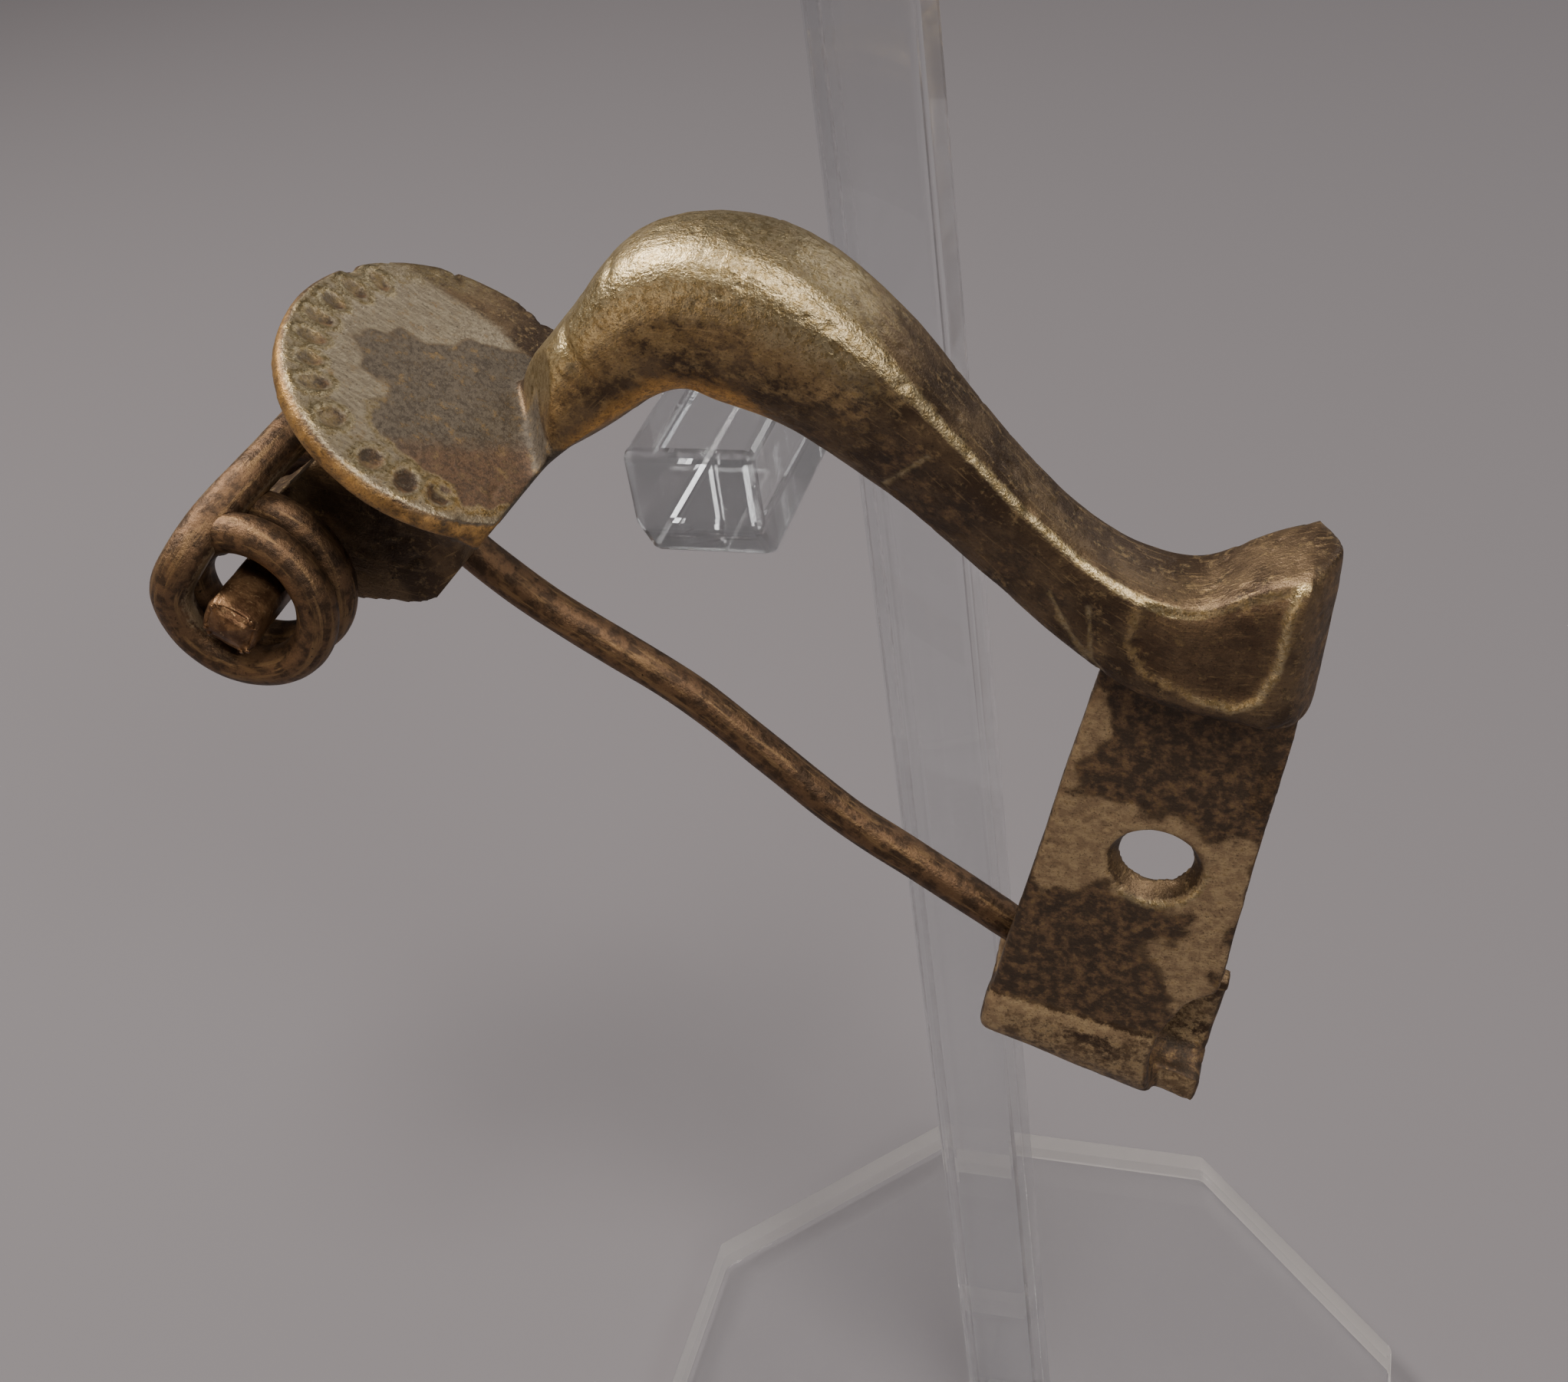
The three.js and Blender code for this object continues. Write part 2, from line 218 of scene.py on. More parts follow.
# the bow's course over the brooch: how far along, and which way is up from it at each point
bow_x = [-30.6, -28.0, -25.7, -23.2, -21.2, -18.3, -15.0, -11.6, -7.8, -4.6, -1.6, 1.2, 4.2]
bow_z = [8.7, 11.5, 14.3, 17.8, 19.8, 20.1, 18.7, 16.3, 13.6, 11.9, 11.2, 12.1, 12.9]
bow_run = [46, 50, 51, 53, 28, -12, -34, -37, -35, -25, -6, 8, 8]
bow_high = [1.9, 1.9, 1.9, 2.1, 2.9, 3.3, 2.9, 2.3, 2.0, 2.1, 2.5, 3.2, 4.1]
run = np.radians(np.interp(x, bow_x, bow_run))
bow_up = np.stack([-np.sin(run), np.zeros(len(x)), np.cos(run)], 1)
bow_middle = np.interp(x, bow_x, bow_z)
bow_half = np.interp(x, bow_x, bow_high)
above_bow = (z - bow_middle) * np.cos(run) / bow_half        # -1 underside, 1 top face

# the disc's own flat coordinates: u towards the foot, v across, h off its face
disc_u = (x - disc_middle.x) * math.cos(disc_tilt) - (z - disc_middle.z) * math.sin(disc_tilt)
disc_h = (x - disc_middle.x) * math.sin(disc_tilt) + (z - disc_middle.z) * math.cos(disc_tilt)
disc_v = y - disc_middle.y
disc_uv = np.stack([disc_u, disc_v], 1)
disc_round = np.hypot(disc_u / 0.92, disc_v)
disc_facing = normal[:, 0] * math.sin(disc_tilt) + normal[:, 2] * math.cos(disc_tilt)
on_disc = step(disc_h, -1.5, -1.2) * (1 - step(disc_h, 0.25, 0.5))
on_disc *= 1 - step(disc_round, 7.4, 7.8)
disc_face = on_disc * step(disc_facing, 0.75, 0.9)

on_bow = step(x, -28.0, -26.5) * step(z, 9.0, 10.0) * (1 - on_disc)
near_facing = -normal[:, 1]
up_facing = (normal * bow_up).sum(1)

# slow unevenness from the mould, and filing
waves = ripple(place, 3.2, 1)
lumps = ripple(place, 1.1, 2)
pits = ripple(place, 0.45, 3)
move = 0.05 * waves + 0.02 * lumps

# the hand-struck punch marks inside the disc's rim: each a short cut with a raised lip
punch_angles = [150, 163, 176, 188, 200, 212, 224, 241, 263, 278, 291]
punch_struck = np.zeros(len(x))
punch_dark = np.zeros(len(x))
punch_lip = np.zeros(len(x))
for i, angle in enumerate(punch_angles):
    turn = math.radians(angle)
    across = Vector((math.cos(turn), math.sin(turn)))
    centre_u, centre_v = across.x * 5.85 * 0.92, across.y * 5.85
    radial = (disc_u - centre_u) * across.x + (disc_v - centre_v) * across.y
    sideways = (disc_v - centre_v) * across.x - (disc_u - centre_u) * across.y
    broad = 0.33 if angle < 230 else 0.42
    reach = np.sqrt((radial / (0.52 + 0.06 * math.sin(i * 2.3))) ** 2 + (sideways / broad) ** 2)
    punch_struck = np.maximum(punch_struck, (1 - step(reach, 0.6, 1.1)) * disc_face)
    punch_dark = np.maximum(punch_dark, (1 - step(reach, 0.9, 1.25)) * disc_face)
    punch_lip = np.maximum(punch_lip, np.exp(-((reach - 1.5) / 0.3) ** 2) * disc_face)
move -= 0.09 * punch_struck
move += 0.04 * punch_lip * (1 - punch_struck)

# the sunken panel on each side of the foot, with a thin raised frame along its edge
side_view = np.stack([x, z], 1)
panel_frame = [(1.9, 17.0), (1.75, 14.6), (1.95, 12.3), (1.6, 10.6), (0.8, 9.9), (-0.4, 9.9),
               (-2.6, 10.4), (-3.3, 11.5), (-3.2, 13.0)]
panel_outline = panel_frame + [(-1.0, 14.3), (0.6, 15.6)]
on_foot = step(x, -4.6, -4.0) * step(z, 9.0, 9.4)
foot_side = on_foot * step(np.abs(normal[:, 1]), 0.45, 0.75)
panel = inside(side_view, panel_outline, 0.35) * foot_side
frame_line = np.exp(-(from_line(side_view, panel_frame) / 0.17) ** 2) * foot_side
move -= 0.20 * panel
move += 0.09 * frame_line

# a nick across the leg below the knee, and old scratches on the bow's side and before the foot
nick = np.exp(-(from_line(side_view, [(-24.6, 18.9), (-23.3, 17.7)]) / 0.28) ** 2) * on_bow
nick *= step(near_facing, 0.0, 0.4)
scratches = np.zeros(len(x))
for start, end in (((-12.9, 15.1), (-11.4, 17.2)), ((-6.4, 12.6), (-4.6, 9.9)),
                   ((-4.9, 12.6), (-4.4, 10.2)), ((-5.9, 11.6), (-3.9, 9.6))):
    scratches = np.maximum(scratches, np.exp(-(from_line(side_view, [start, end]) / 0.11) ** 2))
scratches *= step(near_facing, 0.3, 0.6) * step(z, 9.0, 9.4)
move -= 0.14 * nick + 0.05 * scratches
far_rim = on_disc * step(disc_round, 6.2, 6.8) * step(disc_v, 0, 3)
move -= far_rim * 0.28 * step(lumps + 0.6 * pits, 0.0, 0.7)
move -= 0.05 * step(pits, 0.25, 0.6) * (1 - on_disc * (1 - step(disc_u, 2, 4)))

place += normal * move[:, None]
casting.vertices.foreach_set("co", place.ravel())
casting.update()

# ---- where the metal is worn, dark, golden or bare, and where light and shade are painted ----
# the bow's top edges: pale as rubbed metal, and on the near edge brighter still as a painted highlight
ridge = np.minimum(near_facing, up_facing)
far_ridge = np.minimum(-near_facing, up_facing)
along_bow = on_bow * step(x, -19.5, -16.5)
ridge_wear_and_highlight = np.maximum(1.25 * step(ridge, 0.40, 0.62), 0.6 * step(far_ridge, 0.5, 0.68))
ridge_wear_and_highlight *= along_bow
ridge_wear_and_highlight *= 1 - 0.6 * step(x, -1.8, 0.0)
head_half = on_bow * step(x, -29.0, -27.0) * (1 - step(x, -15.5, -12.0))
# the knee's top and near side: pale as worn metal, and partly a painted highlight where the light catches
# them
knee_top = head_half * step(above_bow, 0.15, 0.75) * step(near_facing + up_facing, 0.2, 0.8)
knee_side = head_half * step(above_bow, -0.6, 0.2) * step(near_facing, 0.2, 0.7)
# a painted warm reflection: golden colour on the near, lower side of the bow's inner corner
corner_warm_reflection = on_bow * step(x, -27.5, -25.5) * (1 - step(x, -18.8, -16.2))
corner_warm_reflection *= 1 - step(above_bow, -0.85, -0.25)
corner_warm_reflection *= step(near_facing, 0.25, 0.65)
dark_blots = np.zeros(len(x))
for blot_x, blot_z, size in ((-14.6, 18.9, 1.3), (-12.2, 16.6, 1.5), (-10.0, 14.8, 1.4),
                             (-15.6, 16.6, 1.0), (-7.9, 13.4, 1.2), (-6.2, 12.2, 1.0),
                             (-11.5, 14.4, 1.6)):
    from_blot = np.hypot(x - blot_x, z - blot_z)
    dark_blots = np.maximum(dark_blots, 1 - step(from_blot, 0.3 * size, 1.25 * size))
dark_blots *= step(near_facing, 0.3, 0.7) * on_bow
speckle = np.stack([ripple(place, 0.8, 7), ripple(place, 0.8, 8)], 1)
dark_patch = inside(disc_uv + 0.4 * speckle, [
    (-4.0, -0.9), (-3.7, 0.3), (-2.6, 1.0), (-1.5, 1.6), (-0.6, 3.0), (1.2, 4.2), (3.9, 4.0),
    (4.5, -3.8), (3.0, -5.4), (1.1, -5.0), (-0.7, -4.6), (-1.8, -3.6), (-2.0, -2.0), (-3.0, -1.7)], 0.3)
plate_near = step(-y, 0.2, 0.4) * step(z, -9.5, -9.1) * (1 - step(z, 9.0, 9.6)) * step(x, -6.5, -6.0)
bare_outline = [(-4.6, 8.3), (-3.4, 8.0), (-2.9, 6.2), (-3.5, 4.8), (-3.8, 3.4), (-2.6, 2.7),
                (-1.0, 2.9), (0.6, 2.9), (2.2, 2.4), (3.9, 2.6), (3.9, -5.6), (3.4, -8.6),
                (2.3, -7.5), (1.6, -5.6), (0.7, -4.3), (1.9, -3.4), (2.2, -2.2), (-2.0, -1.6),
                (-2.6, -2.4), (-4.0, -2.6), (-4.9, -2.0)]
bare_plate = inside(side_view + 0.7 * speckle, bare_outline, 0.5) * plate_near
corner_outline = [(2.6, 4), (3.7, 4), (3.7, 6.5), (2.6, 6.5)]
bare_corner = inside(side_view + 0.5 * speckle, corner_outline, 0.3) * plate_near
roll = step(-z, 9.3, 9.7)
# painted highlights on the rolled catch: over its near left end and along the ledge of its fold
roll_end = roll * (1 - step(x, -5.3, -3.8)) * step(near_facing, 0.2, 0.6)
roll_fold = np.exp(-((z + 9.75) / 0.3) ** 2) * step(-y, 0.2, 0.5) * (1 - step(x, -1.0, 3.0))
# painted shade in the join where the leg rises from the disc, on its near side
leg_slope = math.radians(51)
up_the_leg = (x + 25.7) * math.cos(leg_slope) + (z - 14.3) * math.sin(leg_slope)
neck_join_shade = 1 - step(up_the_leg + 0.4 * speckle[:, 0], 0.4, 1.2)
neck_join_shade *= step(-y + 0.5 * speckle[:, 1], -0.6, 0.2)
neck_join_shade *= (1 - disc_face) * step(disc_u, 2.2, 3.0) * step(z, 9.0, 10.0)
patch_edge = disc_face * 4 * dark_patch * (1 - dark_patch) * step(-disc_v, 2.0, 4.0)
disc_rim = on_disc * (1 - step(disc_facing, 0.55, 0.85)) * step(disc_round, 6.2, 6.6)
rim_inner = disc_face * step(disc_round, 5.2, 5.9)
hole_lip = np.exp(-((np.hypot(x, z) - 2.05) / 0.16) ** 2) * plate_near * step(x - z, -0.5, 2.0)

tones = {
    "silver": disc_face * (1 - dark_patch) * step(5.2 - disc_v - 0.5 * np.maximum(disc_u, 0), 0, 1.2),
    # dark slate grey: the disc's real dark patina patch, plus painted shade in the join of the leg and
    # the disc
    "slate_and_shade": disc_face * dark_patch + neck_join_shade,
    # tan: bare metal on the plate and on the catch's near side, plus painted highlights on the catch's
    # left end and fold ledge
    "tan": (bare_plate + bare_corner + roll_end + 0.75 * roll_fold
            + 0.45 * roll * step(near_facing, 0.3, 0.8)),
    # golden: the disc rim's and the foot frame's own colour, plus a painted warm reflection in the bow's
    # inner corner and a painted highlight on the knee's near side
    "gold_and_painted_light": ((1.2 * corner_warm_reflection + 0.35 * knee_side) * (1 - neck_join_shade)
             + 0.45 * disc_rim * step(-disc_v, -2, 2) + 0.4 * frame_line),
    # pale metal: real wear on the punch lips, rim, scratches, hole and patch edge, and on the bow's
    # ridge, the knee and the foot frame, where painted highlights are added too, most on the frame's
    # right arm
    "worn_and_highlight": (ridge_wear_and_highlight + frame_line * (0.5 + 0.6 * step(x + 0.3 * (z - 10), -1.5, 1.5))
             + 0.9 * punch_lip + 0.45 * rim_inner * step(-disc_u, -1, 3)
             + (0.75 * knee_top + 0.35 * knee_side) * (1 - neck_join_shade)
             + 0.7 * scratches + 0.8 * hole_lip + 0.8 * patch_edge),
    "red": panel * 0.5 + disc_face * dark_patch * step(disc_u - disc_v, 2.5, 5.5),
    # dark: real crust on the plate, in the punch marks, in blots and on the disc rim, plus painted shade
    # under the bow, in the catch's open end, below the foot and on the foot's end
    "crust_and_shade": (plate_near * (1 - bare_plate) * 0.95 + 1.1 * punch_dark + 0.75 * dark_blots
              + disc_rim * step(disc_u, 0.0, 2.5) * step(-disc_v, 1, 3)
              # painted shade along the underside of the bow's head half
              + head_half * (1 - step(above_bow, -1.15, -0.9))
              # painted shade in the open right end of the rolled catch
              + 0.9 * step(-z, 9.0, 9.6) * step(x, 1.6, 2.4) * (1 - step(near_facing, 0.8, 0.95))
              # a painted shadow along the plate just below the foot's overhang
              + 0.8 * np.exp(-((z - 9.1) / 0.35) ** 2) * step(-y, 0.1, 0.3) * step(x, -4.0, -3.5)
              # painted shade on the end faces of the foot and the plate, which face away from the light
              + 0.6 * step(normal[:, 0], 0.5, 0.8) * step(x, 2.0, 2.8)),
}
tones = {name: np.clip(values, 0, 1) for name, values in tones.items()}


def write_tones(mesh, tones):
    for name, values in tones.items():
        layer = mesh.attributes.new(name, "FLOAT", "POINT")
        layer.data.foreach_set("value", values.astype(np.float32))


write_tones(casting, tones)
bow_travelled = np.concatenate([[0], np.cumsum(np.hypot(np.diff(bow_x), np.diff(bow_z)))])
brushing = casting.attributes.new("brushed", "FLOAT_VECTOR", "POINT")
along_across_up = np.stack([np.interp(x, bow_x, bow_travelled), y, above_bow * bow_half], 1)
brushing.data.foreach_set("vector", along_across_up.astype(np.float32).ravel())
casting.transform(brooch_to_row)
casting_piece = new_piece("bronze_casting", casting)


def linear(code):
    """An sRGB hex colour such as "8a6b4c" as linear RGBA."""
    parts = [int(code[i:i + 2], 16) / 255 for i in (0, 2, 4)]
    return [c / 12.92 if c <= 0.04045 else ((c + 0.055) / 1.055) ** 2.4 for c in parts] + [1.0]


def new_finish(name):
    material = bpy.data.materials.new(name)
    material.use_nodes = True
    material.node_tree.nodes.clear()
    shader = add(material, "ShaderNodeBsdfPrincipled")
    add(material, "ShaderNodeOutputMaterial", Surface=shader.outputs[0])
    return material, shader


def add(material, kind, settings=None, **inputs):
    """Adds a node, with its settings, and each input given as a value or as another node's output."""
    node = material.node_tree.nodes.new(kind)
    for key, value in (settings or {}).items():
        setattr(node, key, value)
    for key, value in inputs.items():
        socket = node.inputs[int(key[1:])] if key[0] == "_" else node.inputs[key.replace("_", " ")]
        if isinstance(value, bpy.types.NodeSocket):
            material.node_tree.links.new(value, socket)
        else:
            socket.default_value = value
    return node


# Old cast bronze: a brown-black patina over golden metal, rubbed pale on every high edge,
# with painted highlights, a painted warm reflection and painted shade mixed into the colour.
bronze, bronze_shader = new_finish("patinated_cast_bronze")
metres = add(bronze, "ShaderNodeTexCoord").outputs["Object"]
millimetres = add(bronze, "ShaderNodeVectorMath", {"operation": "SCALE"}, _0=metres,
                  Scale=1000.0).outputs[0]


def cloud(material, vector, scale, detail=4.0, rough=0.6):
    """Noise with a pattern size of about 1 / scale millimetres."""
    return add(material, "ShaderNodeTexNoise", Vector=vector, Scale=scale, Detail=detail,
               Roughness=rough).outputs["Fac"]


def between(material, value, low, high):
    return add(material, "ShaderNodeMapRange", {"interpolation_type": "SMOOTHSTEP"},
               Value=value, From_Min=low, From_Max=high).outputs[0]


def maths(material, operation, a, b):
    return add(material, "ShaderNodeMath", {"operation": operation}, _0=a, _1=b).outputs[0]


def mixed(material, amount, under, over):
    return add(material, "ShaderNodeMix", {"data_type": "RGBA"}, Factor=amount, _6=under,
               _7=over).outputs[2]


def blended(material, amount, under, over):
    return add(material, "ShaderNodeMix", {"data_type": "FLOAT"}, Factor=amount, _2=under,
               _3=over).outputs[0]


def tone(name):
    return add(bronze, "ShaderNodeAttribute", {"attribute_name": name}).outputs["Fac"]


blotches = cloud(bronze, millimetres, 0.42, 4.0, 0.6)
mottle = cloud(bronze, millimetres, 1.7, 5.0, 0.65)
grains = cloud(bronze, millimetres, 4.5, 4.0, 0.7)
fine = cloud(bronze, millimetres, 11.0, 2.0, 0.6)
brushed = cloud(bronze, add(bronze, "ShaderNodeVectorMath", {"operation": "MULTIPLY"}, _0=add(
    bronze, "ShaderNodeAttribute", {"attribute_name": "brushed"}).outputs["Vector"],
    _1=(0.45, 6.0, 6.0)).outputs[0], 1.0, 3.0, 0.6)


def broken(name, ragged=0.5, sharp=0.18):
    """A tone's mask with its edge broken up by the mottling and the grain of the patina."""
    noise_sum = maths(bronze, "ADD", maths(bronze, "MULTIPLY", mottle, ragged * 2),
                      maths(bronze, "MULTIPLY", grains, ragged * 2))
    total = maths(bronze, "SUBTRACT", maths(bronze, "ADD", tone(name), noise_sum), ragged * 2)
    return between(bronze, total, 0.5 - sharp, 0.5 + sharp)


masks = {name: broken(name, ragged, sharp) for name, ragged, sharp in (
    ("silver", 0.4, 0.4), ("tan", 0.95, 0.35), ("slate_and_shade", 0.4, 0.35), ("red", 0.5, 0.4),
    ("crust_and_shade", 0.75, 0.45), ("gold_and_painted_light", 0.6, 0.45), ("worn_and_highlight", 0.7, 0.5))}
colour = mixed(bronze, between(bronze, blotches, 0.38, 0.62), linear("453629"), linear("6d5a44"))
colour = mixed(bronze, between(bronze, mottle, 0.56, 0.68), colour, linear("31281f"))
colour = mixed(bronze, between(bronze, brushed, 0.56, 0.72), colour, linear("836e50"))
for name, hexes in (("silver", ("8b7f6c", "a1957f")), ("tan", ("8a745a", "a6906f")),
                    ("slate_and_shade", ("5a5145", "423a31")), ("red", ("5e4836", "44352a")),
                    ("crust_and_shade", ("362a20", "5e4834")), ("gold_and_painted_light", ("d6a55a", "9c7646")),
                    ("worn_and_highlight", ("b8a886", "95835f"))):
    pattern = {"silver": brushed, "tan": mottle, "crust_and_shade": mottle}.get(name, grains)
    dark_or_light = mixed(bronze, between(bronze, pattern, 0.42, 0.6), linear(hexes[0]), linear(hexes[1]))
    colour = mixed(bronze, masks[name], colour, dark_or_light)
specks = between(bronze, fine, 0.58, 0.70)
colour = mixed(bronze, maths(bronze, "MULTIPLY", specks, 0.55), colour, linear("2a211b"))
bronze.node_tree.links.new(colour, bronze_shader.inputs["Base Color"])
metallic = blended(bronze, masks["crust_and_shade"], 0.7, 0.25)
metallic = blended(bronze, masks["tan"], metallic, 0.55)
metallic = blended(bronze, masks["slate_and_shade"], metallic, 0.2)
metallic = blended(bronze, masks["worn_and_highlight"], metallic, 1.0)
bronze.node_tree.links.new(metallic, bronze_shader.inputs["Metallic"])
roughness = blended(bronze, masks["crust_and_shade"], 0.42, 0.58)
roughness = blended(bronze, masks["tan"], roughness, 0.5)
roughness = blended(bronze, masks["silver"], roughness, 0.36)
roughness = blended(bronze, masks["slate_and_shade"], roughness, 0.66)
roughness = blended(bronze, masks["worn_and_highlight"], roughness, 0.32)
roughness = maths(bronze, "ADD", roughness, maths(bronze, "MULTIPLY", grains, 0.14))
bronze.node_tree.links.new(roughness, bronze_shader.inputs["Roughness"])
relief = blended(bronze, 0.35, blended(bronze, 0.5, mottle, grains), fine)
relief = blended(bronze, 0.25, relief, brushed)
bump = add(bronze, "ShaderNodeBump", Strength=0.6, Distance=0.00016, Height=relief)
bronze.node_tree.links.new(bump.outputs[0], bronze_shader.inputs["Normal"])

casting.materials.clear()
casting.materials.append(bronze)
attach(casting_piece, "brooch_on_stand")
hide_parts("brooch_casting")

# ---------------------------------------------------------------------------------------------
# The axle: a rough four-sided bronze rod through the lug and the coils.
# It was cut from bar, its corners hammered down, and its ends left as the chisel left them.
# ---------------------------------------------------------------------------------------------
axle_x, axle_z = -36.25, 5.75
axle_wide, axle_long = 2.15, 13.0
rod = bmesh.new()
bmesh.ops.create_cube(rod, size=1.0)
bmesh.ops.scale(rod, vec=(axle_wide, axle_long, axle_wide * 0.94), verts=rod.verts)
bmesh.ops.bevel(rod, geom=[e for e in rod.edges if abs((e.verts[0].co - e.verts[1].co).y) > 1],
                offset=0.5, affect="EDGES", segments=2, profile=0.5, material=-1)
end_faces = [f for f in rod.faces if abs(f.normal.y) > 0.9]
bmesh.ops.bevel(rod, geom=list({e for f in end_faces for e in f.edges}),
                offset=0.3, affect="EDGES", segments=2, profile=0.5, material=-1)
end_faces = [f for f in rod.faces if abs(f.normal.y) > 0.9]
bmesh.ops.inset_individual(rod, faces=end_faces, thickness=0.28, depth=0.0)
for face in end_faces:
    bmesh.ops.translate(rod, vec=face.normal * 0.16 + Vector((0.12, 0, 0.1)), verts=face.verts)
bmesh.ops.bisect_plane(rod, geom=rod.verts[:] + rod.edges[:] + rod.faces[:], plane_co=(0, 0, 0),
                       plane_no=(0, 1, 0))
for cut in (-5.2, -3.9, -2.6, -1.3, 1.3, 2.6, 3.9, 5.2):
    bmesh.ops.bisect_plane(rod, geom=rod.verts[:] + rod.edges[:] + rod.faces[:],
                           plane_co=(0, cut, 0), plane_no=(0, 1, 0))
bmesh.ops.subdivide_edges(rod, edges=rod.edges[:], cuts=2, use_grid_fill=True)
bmesh.ops.rotate(rod, cent=(0, 0, 0), matrix=Matrix.Rotation(math.radians(20), 3, "Y"), verts=rod.verts)
for vert in rod.verts:
    vert.co += vert.normal * 0.07 * noise.noise(vert.co * 0.9)
    vert.co += vert.normal * 0.03 * noise.noise(vert.co * 2.6)
bmesh.ops.translate(rod, vec=(axle_x, 0, axle_z), verts=rod.verts)
bmesh.ops.transform(rod, matrix=brooch_to_row, verts=rod.verts)
bmesh.ops.recalc_face_normals(rod, faces=rod.faces)
axle_mesh = bpy.data.meshes.new("axle_rod")
rod.to_mesh(axle_mesh)
rod.free()
axle_piece = new_piece("axle_rod", axle_mesh)

# Reddish bronze bar: duller than the casting, with rubbed pale corners at its end.
axle_bronze, axle_shader = new_finish("reddish_bronze_bar")
metres = add(axle_bronze, "ShaderNodeTexCoord").outputs["Object"]
millimetres = add(axle_bronze, "ShaderNodeVectorMath", {"operation": "SCALE"}, _0=metres,
                  Scale=1000.0).outputs[0]
blots = cloud(axle_bronze, millimetres, 1.2)
specks = cloud(axle_bronze, millimetres, 6.0)
colour = mixed(axle_bronze, between(axle_bronze, blots, 0.35, 0.65), linear("553d2b"), linear("84664a"))
colour = mixed(axle_bronze, between(axle_bronze, specks, 0.58, 0.75), colour, linear("a58a68"))
axle_bronze.node_tree.links.new(colour, axle_shader.inputs["Base Color"])
axle_shader.inputs["Metallic"].default_value = 0.85
axle_shader.inputs["Roughness"].default_value = 0.48
bump = add(axle_bronze, "ShaderNodeBump", Strength=0.4, Distance=0.00008, Height=specks)
axle_bronze.node_tree.links.new(bump.outputs[0], axle_shader.inputs["Normal"])
axle_mesh.materials.append(axle_bronze)
for polygon in axle_mesh.polygons:
    polygon.use_smooth = True
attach(axle_piece, "brooch_on_stand")
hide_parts("axle")

# ---------------------------------------------------------------------------------------------
# The wire: near coil, outer chord, far coil and pin, drawn from one length of bronze.
# It was hammered round and wound about the axle; the chord is rubbed bright along two ridges, which also
# carry a painted highlight.
# ---------------------------------------------------------------------------------------------
wire_radius = 0.84
pin_radius = 0.86
coil_radius = 2.85
near_pitch = 1.68
far_pitch = 2.0
inner_turn = 2.2
pin_leaves = math.radians(60)
chord_left = math.pi * 0.95


def turns(from_angle, to_angle, from_y, to_y):
    """Points along a coil about the axle."""
    count = max(2, round(abs(to_angle - from_angle) / (math.pi / 8)))
    return [Vector((axle_x + coil_radius * math.cos(from_angle + (to_angle - from_angle) * i / count),
                    from_y + (to_y - from_y) * i / count,
                    axle_z + coil_radius * math.sin(from_angle + (to_angle - from_angle) * i / count)))
            for i in range(count + 1)]


def smooth_course(points, spacing):
    """Evenly spaced points on a centripetal spline through the given ones."""
    fine = []
    padded = [points[0] * 2 - points[1]] + points + [points[-1] * 2 - points[-2]]
    for p0, p1, p2, p3 in zip(padded, padded[1:], padded[2:], padded[3:]):
        t1 = (p1 - p0).length ** 0.5
        t2 = t1 + (p2 - p1).length ** 0.5
        t3 = t2 + (p3 - p2).length ** 0.5
        for k in range(24):
            t = t1 + (t2 - t1) * k / 24
            a1 = p0 * ((t1 - t) / t1) + p1 * (t / t1)
            a2 = p1 * ((t2 - t) / (t2 - t1)) + p2 * ((t - t1) / (t2 - t1))
            a3 = p2 * ((t3 - t) / (t3 - t2)) + p3 * ((t - t2) / (t3 - t2))
            b1 = a1 * ((t2 - t) / t2) + a2 * (t / t2)
            b2 = a2 * ((t3 - t) / (t3 - t1)) + a3 * ((t - t1) / (t3 - t1))
            fine.append(b1 * ((t2 - t) / (t2 - t1)) + b2 * ((t - t1) / (t2 - t1)))
    fine.append(points[-1].copy())
    travelled = np.concatenate([[0], np.cumsum([(b - a).length for a, b in zip(fine, fine[1:])])])
    count = max(2, round(travelled[-1] / spacing))
    wanted = np.linspace(0, travelled[-1], count + 1)
    table = np.array([list(p) for p in fine])
    return [Vector([np.interp(s, travelled, table[:, k]) for k in range(3)]) for s in wanted], wanted


def drawn_wire(course, radius, seats, first_up):
    """Draws a ring of that many seats along the course. Each vertex keeps its seat and its station."""
    wire = bmesh.new()
    seat = wire.verts.layers.int.new("seat")
    station = wire.verts.layers.int.new("station")
    ring = bmesh.ops.create_circle(wire, segments=seats, radius=radius, cap_ends=False)["verts"]
    for i, vert in enumerate(ring):
        vert[seat] = i
    up = first_up
    last = Matrix.Identity(4)
    edges = wire.edges[:]
    for i, point in enumerate(course):
        ahead = (course[min(i + 1, len(course) - 1)] - course[max(i - 1, 0)]).normalized()
        up = (up - ahead * up.dot(ahead)).normalized()
        stance = Matrix.Translation(point) @ Matrix((ahead.cross(up), up, ahead)).transposed().to_4x4()
        if i:
            drawn = bmesh.ops.extrude_edge_only(wire, edges=edges)["geom"]
            ring = [g for g in drawn if isinstance(g, bmesh.types.BMVert)]
            members = set(ring)
            edges = [g for g in drawn if isinstance(g, bmesh.types.BMEdge)
                     and g.verts[0] in members and g.verts[1] in members]
        bmesh.ops.transform(wire, matrix=stance @ last.inverted(), verts=ring)
        for vert in ring:
            vert[station] = i
        last = stance
    return wire, seat, station


